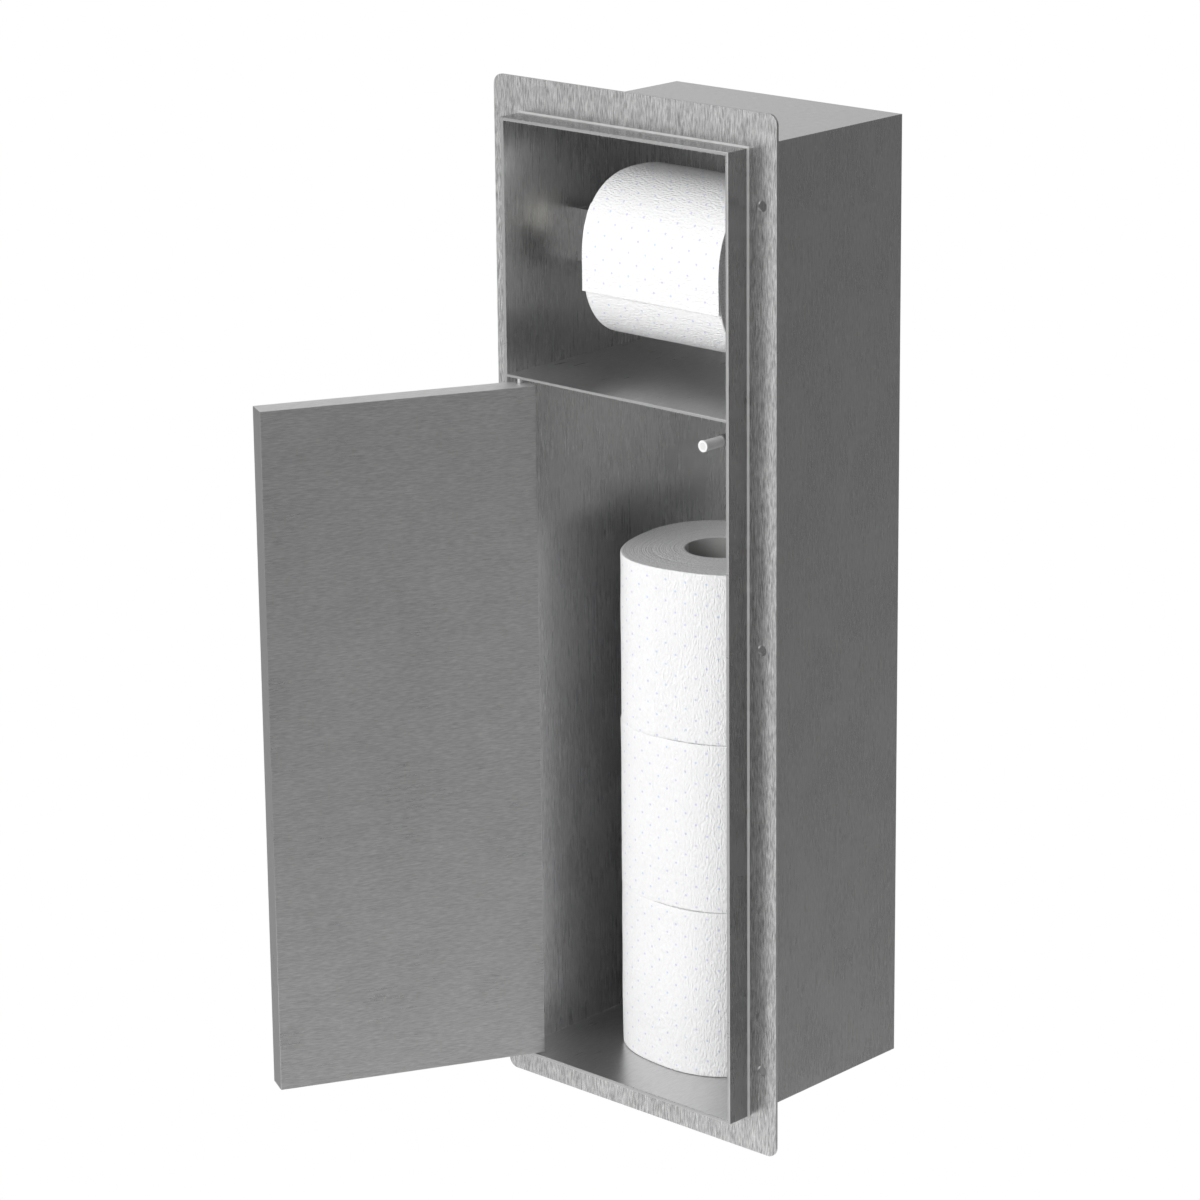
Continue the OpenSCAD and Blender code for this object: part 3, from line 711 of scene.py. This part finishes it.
# %% [markdown]
# ## Rows of equal parts
# The spare rolls stand in a row, and so do their cores and the two rivets of the latch. They could be
# placed one by one, but a row keeps their step and their small differences in one place. The tree puts a
# copy of an object on each point of a line. Each copy is turned by a step further than the one before, and
# then a little by chance, with a fixed seed.

# %% Geometry Nodes: a row of copies
def row_tree():
    tree, start, value = new_tree("row_of_copies", {
        "Part": "Object", "Count": "Int", "First": "Vector", "Step": "Vector", "First Turn": "Vector",
        "Turn Step": "Vector", "Most Turn": "Vector", "Seed": "Int",
    })
    row = start.node(
        "GeometryNodeMeshLine", {"mode": "OFFSET"},
        {"Count": value["Count"], "Start Location": value["First"], "Offset": value["Step"]},
    )
    part = start.node("GeometryNodeObjectInfo", sockets={"Object": value["Part"]}, out="Geometry")
    least = start.node("ShaderNodeVectorMath", {"operation": "SCALE"}, {0: value["Most Turn"], "Scale": -1.0})
    chance = start.node(
        "FunctionNodeRandomValue", {"data_type": "FLOAT_VECTOR"},
        {0: least, 1: value["Most Turn"], "Seed": value["Seed"]},
    )
    number = start.node("GeometryNodeInputIndex")
    steps = start.node(
        "ShaderNodeVectorMath", {"operation": "SCALE"}, {0: value["Turn Step"], "Scale": number},
    )
    even = start.node("ShaderNodeVectorMath", {"operation": "ADD"}, {0: value["First Turn"], 1: steps})
    turn = start.node("ShaderNodeVectorMath", {"operation": "ADD"}, {0: even, 1: chance})
    copies = start.node(
        "GeometryNodeInstanceOnPoints", sockets={"Points": row, "Instance": part, "Rotation": turn},
    )
    close_tree(start, copies, value["Material"])
    return tree


ROW = row_tree()
print("row tree:", len(ROW.nodes), "nodes")

# %% [markdown]
# ## A row as one piece
# The part that is copied only lends its shape to the row. It could stay in the scene, but every object
# there has to ride on a body. So it is taken away once the row is made.

# %% Turn a row into a plain piece
def make_row(name, shape, material, body, slot, nodes, **values):
    """A row of copies of a bmesh, as one piece."""
    part = as_object(shape, name + "_part")
    grown(ROW, name, body, slot, nodes, Part=part, Material=material, **values)
    bpy.data.objects.remove(part)


# %% [markdown]
# ## Parts that are turned about an axis
# Rolls, cores and rivets are solids of revolution. A closed outline of radius and height is carried round
# the axis in small steps, and a radius of zero becomes one point, so that the ends are closed. A Screw
# modifier does this for a plain outline, but here a wave may move each point, and each point has to say
# which layer of the paper it belongs to.

# %% Carry an outline round an axis
ROUND = math.radians(50)


def shade_round(shape):
    """Shades a bmesh round, up to its sharper edges."""
    bmesh.ops.recalc_face_normals(shape, faces=shape.faces)
    for face in shape.faces:
        face.smooth = True
    for edge in shape.edges:
        edge.smooth = edge_angle(edge) < ROUND


def revolve(outline, steps, wave=None):
    """A bmesh about Z. outline runs once round the section; wave(angle, radius, height) moves the radius."""
    shape = bmesh.new()
    layer = shape.verts.layers.float.new(LAYER)
    rings = []
    for radius, height in outline:
        if radius == 0:
            rings.append([shape.verts.new((0, 0, height))] * steps)
            continue
        ring = []
        for step in range(steps):
            angle = 2 * math.pi * step / steps
            reach = radius + (wave(angle, radius, height) if wave else 0.0)
            point = shape.verts.new((reach * math.cos(angle), reach * math.sin(angle), height))
            point[layer] = radius
            ring.append(point)
        rings.append(ring)
    closed = outline[0][0] > 0
    for first, second in zip(rings, rings[1:] + ([rings[0]] if closed else [])):
        for step in range(steps):
            after = (step + 1) % steps
            corners = [first[step], first[after], second[after], second[step]]
            corners = [v for i, v in enumerate(corners) if v not in corners[:i]]
            if len(corners) > 2:
                shape.faces.new(corners)
    shade_round(shape)
    return shape


# %% [markdown]
# ## Paper rolls
# A roll of tissue isn't a plain cylinder, and a cylinder with a round rim looks like plastic. Rolls that
# were packed tight are a little square, so their flat sides lie further in than the round CAD roll and
# their soft corners further out. Their rims are soft, their skin waves by a few tenths of a millimetre, and
# their ends are uneven, because the layers creep sideways. The outline holds the rims and the ends.

# %% The outline of a roll
RIM_STEPS, SKIN_STEPS, END_LAYERS = 4, 24, 26
CREEP, CREEP_PER_METRE = 0.25 * MM, 900
BORE_EASE = 0.3 * MM


def corner(radius, height, rim, first, last):
    """Points of a rounded corner whose middle is at radius and height."""
    angles = [first + (last - first) * i / RIM_STEPS for i in range(RIM_STEPS + 1)]
    return [(radius + rim * math.cos(a), height + rim * math.sin(a)) for a in angles]


def roll_end(radius, bore, half, side, seed):
    """Points of one end of a roll from the bore outwards. side is 1 for the top and -1 for the foot."""
    points = []
    for i in range(1, END_LAYERS):
        reach = bore + (radius - bore) * i / END_LAYERS
        creep = CREEP * abs(noise.noise(Vector((reach * CREEP_PER_METRE, seed, side))))
        points.append((reach, side * (half - creep)))
    return points


def roll_outline(radius, bore, width, rim, seed=1.0):
    """From the bore out over the top, down the skin and back under the foot."""
    half, flat = width / 2, radius - rim
    top = [(bore, half - BORE_EASE)] + roll_end(flat, bore, half, 1, seed)
    top += corner(flat, half - rim, rim, math.pi / 2, 0)
    skin = [(radius, half - rim - (width - 2 * rim) * i / SKIN_STEPS) for i in range(1, SKIN_STEPS)]
    foot = corner(flat, rim - half, rim, 0, -math.pi / 2) + roll_end(flat, bore, half, -1, seed)[::-1]
    return top + skin + foot + [(bore, BORE_EASE - half)]


# %% [markdown]
# ## How a roll departs from a cylinder
# A roll could be sculpted, but a formula can be set against the outline in the picture. A soft square comes
# from one formula, in which a power of 2 gives a circle and a higher one a squarer shape. Noise adds the
# hollows. Both fade out towards the core, which stays round.

# %% Soft squares and hollows
SQUARENESS = 2.5
HOLLOWS_ROUND, HOLLOWS_PER_METRE = 1.6, 28


def soft_square(angle):
    """How far a soft square reaches, where the middle of a side is at 1."""
    return (abs(math.cos(angle)) ** SQUARENESS + abs(math.sin(angle)) ** SQUARENESS) ** (-1 / SQUARENESS)


def roll_wave(radius, core, flat, seed, shift=(0.0, 0.0), depth=0.3 * MM):
    """flat is half the width over the flat sides, shift moves the skin, depth is that of the hollows."""
    def wave(angle, reach, height):
        outward = (reach - core) / (radius - core)
        moved = flat * soft_square(angle) - radius + shift[0] * math.cos(angle) + shift[1] * math.sin(angle)
        round_it = (HOLLOWS_ROUND * math.cos(angle), HOLLOWS_ROUND * math.sin(angle))
        place = Vector((*round_it, height * HOLLOWS_PER_METRE + seed))
        return outward * (moved + depth * noise.noise(place))
    return wave


# %% [markdown]
# ## The spare rolls
# Three rolls stand on top of each other in the lower room. A physics simulation could drop them in place,
# but the CAD model already says where they stand. Each is turned by a little more than a quarter against
# the one below, so that their flat sides nearly line up, as in a stack that slid in between walls.

# %% Spare rolls
BOARD_THICK, STACK_GAP = 1.0 * MM, 0.1 * MM
SPARE_FLAT, SPARE_SHIFT = 54.3 * MM, Vector((0.8 * MM, 0.9 * MM, 0))
FOOT_TURN, TURN_STEP = math.radians(-5), math.radians(90 + 8.5)
ROLL_STEPS = 160
low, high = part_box("spare_paper_1")
spare_centre = (low + high) / 2
spare_radius, roll_width = (high.x - low.x) / 2, high.z - low.z
core_low, core_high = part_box("spare_core_1")
core_radius = (core_high.x - core_low.x) / 2
core_bore = core_radius - BOARD_THICK
stack_foot = min(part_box(f"spare_paper_{n}")[0].z for n in (1, 2, 3))
first_place = Vector((spare_centre.x, spare_centre.y, stack_foot + roll_width / 2))
tissue_upright = tissue("printed_tissue_spare_rolls", "Z", tuple(first_place), spare_radius)
spare_shape = revolve(
    roll_outline(spare_radius, core_radius, roll_width - STACK_GAP, RIM), ROLL_STEPS,
    roll_wave(spare_radius, core_radius, SPARE_FLAT, seed=3.0),
)
make_row(
    "spare_paper_rolls", spare_shape, tissue_upright, "cabinet", "tissue_paper",
    [f"spare_paper_{n}" for n in (1, 2, 3)],
    Count=3, First=first_place + SPARE_SHIFT, Step=(0, 0, roll_width),
    First_Turn=(0, 0, FOOT_TURN), Turn_Step=(0, 0, TURN_STEP),
)

# %% [markdown]
# ## Cores
# A core is a short board tube with slightly eased edges. It stays round, however square the paper is. Only
# the top one shows in the picture, so the others could be left out. But a look down its bore shows them as
# well, and they are the same, so one row makes all three.

# %% Board cores of the spare rolls
CORE_STEPS, CORE_EASE = 96, 0.25 * MM
CORE_LOOSE, CORE_SHORT = 0.05 * MM, 0.5 * MM


def core_outline(radius, bore, width):
    half, ease = width / 2, CORE_EASE
    return [
        (bore, half - ease), (bore + ease, half), (radius - ease, half), (radius, half - ease),
        (radius, ease - half), (radius - ease, -half), (bore + ease, -half), (bore, ease - half),
    ]


board_upright = grey_board("grey_board_spare_cores", "Z", tuple(first_place))
core_shape = revolve(core_outline(core_radius - CORE_LOOSE, core_bore, roll_width - CORE_SHORT), CORE_STEPS)
make_row(
    "spare_board_cores", core_shape, board_upright, "cabinet", "cardboard",
    [f"spare_core_{n}" for n in (1, 2, 3)],
    Count=3, First=first_place, Step=(0, 0, roll_width), Most_Turn=(0, 0, math.pi), Seed=9,
)

# %% [markdown]
# ## Rivets
# The two rivets hold the clip of the latch. Each has a domed head at both ends, as a closed rivet does.
# They could be separate pieces, but they are equal and never move apart, so they are one more row.

# %% Rivets of the latch clip
HEAD_RADIUS, HEAD_HEIGHT, SHANK_RADIUS = 3 * MM, 1 * MM, 1.5 * MM
DOME_STEPS, RIVET_STEPS, RIVET_MOST_TURN = 8, 32, 0.5
low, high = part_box("latch_rivets")
middle = (low + high) / 2
grip = (high.z - low.z) / 2 - HEAD_HEIGHT
slopes = [math.pi / 2 * i / DOME_STEPS for i in range(DOME_STEPS)]
head = [(0, grip + HEAD_HEIGHT)]
head += [(HEAD_RADIUS * math.cos(a), grip + HEAD_HEIGHT * math.sin(a)) for a in slopes[::-1]]
head.append((SHANK_RADIUS, grip))
rivet = revolve(head + [(r, -h) for r, h in head[::-1]], RIVET_STEPS)
make_row(
    "latch_rivet_pair", rivet, turned_up, "cabinet", "bright_steel", ["latch_rivets"],
    Count=2, First=(low.x + HEAD_RADIUS, middle.y, middle.z), Step=(high.x - low.x - 2 * HEAD_RADIUS, 0, 0),
    Most_Turn=(0, 0, RIVET_MOST_TURN), Seed=2,
)

# %% [markdown]
# ## The roll in use
# It hangs from the spindle by its core, so the core's top rests on the spindle and the roll sits a bit low.
# It could be a copy of a spare roll, but it has been used, so it is thinner. It is pressed square as well,
# with its middle a little forward and up against the core.

# %% The roll and its core
ROLL_FLAT, ROLL_UP, ROLL_FORWARD, ROLL_HOLLOW = 47.0 * MM, 0.9 * MM, 0.5 * MM, 0.2 * MM
HUNG_CORE_SHORT = 0.4 * MM
low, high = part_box("roll_paper")
roll_centre = (low + high) / 2
roll_radius, roll_length = (high.z - low.z) / 2, high.x - low.x
tissue_across = tissue("printed_tissue_hung_roll", "X", tuple(roll_centre), roll_radius)
board_across = grey_board("grey_board_hung_core", "X", tuple(roll_centre))
lay_down = Matrix.Translation(roll_centre) @ Matrix.Rotation(math.pi / 2, 4, "Y")


def hang(shape, name, material, node):
    """Lays a shape that was made about Z along the spindle."""
    shape.transform(lay_down)
    return dress(as_object(shape, name, [material]), "roll", [node])


pressed = roll_wave(
    roll_radius, core_radius, ROLL_FLAT, seed=8.0, shift=(-ROLL_UP, -ROLL_FORWARD), depth=ROLL_HOLLOW,
)
roll_shape = revolve(roll_outline(roll_radius, core_radius, roll_length, RIM, seed=5.0), ROLL_STEPS, pressed)
hung_roll = hang(roll_shape, "hung_paper_roll", tissue_across, "roll_paper")
core_shape = revolve(
    core_outline(core_radius - CORE_LOOSE, core_bore, roll_length - HUNG_CORE_SHORT), CORE_STEPS,
)
hang(core_shape, "hung_board_core", board_across, "roll_core")
print("hung roll:", round(roll_radius / MM, 1), "mm radius,", round(roll_length / MM, 1), "mm wide")

# %% [markdown]
# ## The loose sheet
# The last sheet comes off the front of the roll and hangs straight down to its torn perforated edge. It
# follows the squared roll and falls from its foremost line. A cloth simulation would only find the same
# line, so the line is worked out. Its length is what the sheet measures when it is laid flat.

# %% The line that the sheet follows
SHEET_THICK, SHEET_WRAP, SHEET_GAP = 0.3 * MM, math.radians(38), 0.15 * MM
WRAP_STEPS, TAIL_STEPS, WIDE_STEPS = 24, 10, 62
TAIL_BOW, TAIL_BOW_ANGLE = 0.2 * MM, 2.2
tail = roll_centre.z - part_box("loose_sheet")[0].z


def sheet_line():
    """(outward, up) of the sheet's inner side from its top to its free edge, seen from the roll's axis."""
    line = []
    for i in range(WRAP_STEPS):
        angle = SHEET_WRAP * (1 - i / WRAP_STEPS)
        reach = ROLL_FLAT * soft_square(angle) + SHEET_GAP
        line.append((ROLL_FORWARD + reach * math.cos(angle), ROLL_UP + reach * math.sin(angle)))
    front = ROLL_FORWARD + ROLL_FLAT + SHEET_GAP
    for i in range(TAIL_STEPS + 1):
        share = i / TAIL_STEPS
        bow = TAIL_BOW * math.sin(TAIL_BOW_ANGLE * share)
        line.append((front - bow, ROLL_UP - (tail + ROLL_UP) * share))
    return line


line = sheet_line()

# %% [markdown]
# ## The sheet as a thin skin
# The sheet has an inner and an outer side, which follow the line at the thickness of the paper. A Solidify
# modifier could add the second side, but this sheet has to thin out at the top, where it joins the roll. It
# sways a little towards its free end, whose edge has the small teeth of the perforation. It rides on the
# roll's own body, because it turns with the roll.

# %% The loose sheet
TOP_THIN_SHARE, TOOTH = 0.1, 0.22 * MM
SWAY, SWAY_ACROSS, SWAY_UP, SWAY_SEED = 0.35 * MM, 30, 20, 7.0


def sheet_row(shape, layer, number, outer_side):
    """One row of points across the sheet, on its inner side (0) or its outer side (1)."""
    outward, rise = line[number]
    before, after = line[max(number - 1, 0)], line[min(number + 1, len(line) - 1)]
    run = Vector((after[0] - before[0], after[1] - before[1])).normalized()
    thick = outer_side * SHEET_THICK * min(1.0, TOP_THIN_SHARE + number / WRAP_STEPS)
    free = max(0.0, -rise / tail)
    torn = number == len(line) - 1
    row = []
    for i in range(WIDE_STEPS + 1):
        x = roll_centre.x + roll_length * (i / WIDE_STEPS - 0.5)
        sway = SWAY * free * noise.noise(Vector((x * SWAY_ACROSS, SWAY_SEED, rise * SWAY_UP)))
        tooth = TOOTH * (i % 2) if torn else 0.0
        y = roll_centre.y - outward + run.y * thick + sway
        point = shape.verts.new((x, y, roll_centre.z + rise + run.x * thick + tooth))
        point[layer] = roll_radius
        row.append(point)
    return row


def loose_sheet_mesh():
    """Both sides of the sheet, closed along its four edges."""
    shape = bmesh.new()
    layer = shape.verts.layers.float.new(LAYER)
    inner, outer = ([sheet_row(shape, layer, n, side) for n in range(len(line))] for side in (0.0, 1.0))
    last, wide = len(line) - 1, WIDE_STEPS
    for r in range(last):
        for i in range(wide):
            shape.faces.new((inner[r][i], inner[r][i + 1], inner[r + 1][i + 1], inner[r + 1][i]))
            shape.faces.new((outer[r][i], outer[r + 1][i], outer[r + 1][i + 1], outer[r][i + 1]))
        for i in (0, wide):
            shape.faces.new((inner[r][i], inner[r + 1][i], outer[r + 1][i], outer[r][i]))
    for r in (0, last):
        for i in range(wide):
            shape.faces.new((inner[r][i], outer[r][i], outer[r][i + 1], inner[r][i + 1]))
    shade_round(shape)
    return shape


loose_sheet = as_object(loose_sheet_mesh(), "loose_paper_sheet", [tissue_across])
dress(loose_sheet, "roll", ["loose_sheet"])
print("loose sheet:", len(loose_sheet.data.polygons), "faces")

# %% [markdown]
# ## The light tent
# Shiny steel shows whatever stands round it, so such things are photographed in a tent of pale cloth. A
# picture of a real studio could stand round it here, but its own lamps and walls would show in the steel.
# So the tent is a dome that only light and reflections see, with soft patches of light that can be set one
# by one: a strong one in front and a little above, and weak ones overhead, behind and on the right, which
# is why the right side of the cabinet is the dark one in the picture. What the steel mirrors has an upper
# limit, so that the rooms don't burn out when they are seen from straight in front.

# %% Tent
TENT_REACH, PATCH_TIGHT, MOST_MIRRORED = 3.4, 7.0, 1.5
FRONT, RIGHT, BACK_RIGHT, BACK, BACK_LEFT, FRONT_LEFT = 0, 90, 135, 180, 225, 315
TENT_PATCHES = (  # bearing from the front over the right and height, in degrees, then strength
    (FRONT, 20, 2.2),
    (RIGHT, -25, 0.4),
    (BACK, -25, 0.6),
    (BACK_LEFT, -25, 0.75),
    (BACK_LEFT, 20, 0.5),
    (BACK_RIGHT, 45, 0.4),
    (FRONT_LEFT, -25, 0.5),
    (FRONT, 90, 0.6),
)

dome_shape = bmesh.new()
bmesh.ops.create_icosphere(dome_shape, subdivisions=4, radius=TENT_REACH)
bmesh.ops.reverse_faces(dome_shape, faces=dome_shape.faces)
cloth, start, place = new_finish("tent_cloth")
shade = 0.0
for bearing, height, strength in TENT_PATCHES:
    round_by, up_by = math.radians(bearing), math.radians(height)
    level = math.cos(up_by)
    toward = (math.sin(round_by) * level, -math.cos(round_by) * level, math.sin(up_by))
    near = start.node(
        "ShaderNodeVectorMath", {"operation": "DOT_PRODUCT"}, {0: place, 1: toward}, out="Value",
    )
    shade = strength * ((near / TENT_REACH - 1) * PATCH_TIGHT).maths("EXPONENT") + shade
mirrored = start.node("ShaderNodeLightPath", out="Is Glossy Ray")
shade = shade + mirrored * (shade.maths("MINIMUM", MOST_MIRRORED) - shade)
glow = start.node("ShaderNodeEmission", sockets={"Color": shade.tint((1, 1, 1)), "Strength": 1.0})
start.node("ShaderNodeOutputMaterial", sockets={"Surface": glow})
cloth.cycles.emission_sampling = "NONE"
dome = as_object(dome_shape, "studio_tent", [cloth])
dome.visible_camera = False
print("tent:", len(TENT_PATCHES), "patches of light")

# %% [markdown]
# ## Floor
# The picture has a plain white ground, so a floor could be left out. But the pale light that comes back
# from a floor softens the undersides. This one lies well below the cabinet and keeps its shadow. It glows a
# little for the camera and in mirrors, so that its far edge doesn't show against the world.

# %% Floor
FLOOR_DROP, FLOOR_REACH, FLOOR_SIDES = 1.2, 2.4, 96
FLOOR_TONE, MOTTLE_SHADE, MOTTLE = 0.72, 0.03, 0.4
GLOW_SEEN, GLOW_MIRRORED = 0.65, 0.5
floor_shape = bmesh.new()
bmesh.ops.create_circle(floor_shape, cap_ends=True, segments=FLOOR_SIDES, radius=FLOOR_REACH)
floor_shape.transform(Matrix.Translation((0, 0, cad_box[0].z - FLOOR_DROP)))
pale, start, place = new_finish("pale_floor")
camera_ray, glossy_ray, clear_ray = (
    start.node("ShaderNodeLightPath", out=f"Is {ray} Ray") for ray in ("Camera", "Glossy", "Transmission")
)
tone = (FLOOR_TONE + MOTTLE_SHADE * place.cloud([MOTTLE] * 3)).tint((1, 1, 1))
plain = start.node("ShaderNodeBsdfDiffuse", sockets={"Color": tone})
strength = GLOW_SEEN * camera_ray + GLOW_MIRRORED * (glossy_ray + clear_ray)
glow = start.node("ShaderNodeEmission", sockets={"Strength": strength})
both = start.node("ShaderNodeAddShader", sockets={0: plain, 1: glow})
start.node("ShaderNodeOutputMaterial", sockets={"Surface": both})
as_object(floor_shape, "studio_floor", [pale])
print("floor", FLOOR_DROP, "m below the cabinet")

# %% [markdown]
# ## World and lamp
# The camera looks through the tent at a white world. One large soft lamp in front lights the paper and the
# plastic. A brighter tent could light them alone, but then the steel would burn out. For the same reason
# the steel doesn't mirror the lamp.

# %% World and lamp
world = bpy.data.worlds.new("white_studio")
bpy.context.scene.world = world
world.use_nodes = True
world.node_tree.nodes.clear()
sky = Wire(world.node_tree)
white = sky.node("ShaderNodeBackground", sockets={"Color": (1, 1, 1, 1), "Strength": 1.0})
sky.node("ShaderNodeOutputWorld", sockets={"Surface": white})

LAMP_PLACE, LAMP_SIZE = Vector((-0.6, -2.5, 0.9)), 1.8
LAMP_RADIANCE = 4.8  # how bright its face looks, where white is 1
lamp = shown(bpy.data.objects.new("front_lamp", bpy.data.lights.new("front_lamp", "AREA")))
lamp.data.shape, lamp.data.size = "DISK", LAMP_SIZE
lamp.data.energy = LAMP_RADIANCE * math.pi * math.pi * (LAMP_SIZE / 2) ** 2
toward_middle = (-LAMP_PLACE).to_track_quat("-Z", "Y").to_matrix().to_4x4()
lamp.matrix_world = Matrix.Translation(LAMP_PLACE) @ toward_middle
lamp.visible_camera = lamp.visible_glossy = False
print(lamp.name, round(lamp.data.energy, 1), "W")

bpy.context.scene.view_settings.view_transform = "Standard"
cycles = bpy.context.scene.cycles
# Light bounces often between the bright walls of the rooms, which are too dark with fewer bounces than these.
cycles.max_bounces, cycles.glossy_bounces, cycles.diffuse_bounces = 16, 12, 6

# %% [markdown]
# ## Measure
# The box of the CAD model is printed, in millimetres. The dressed object has to stay in the box of the
# CAD model.

# %% Sizes and the end
print("cad box   ", [[round(v / MM, 1) for v in c] for c in cad_box])
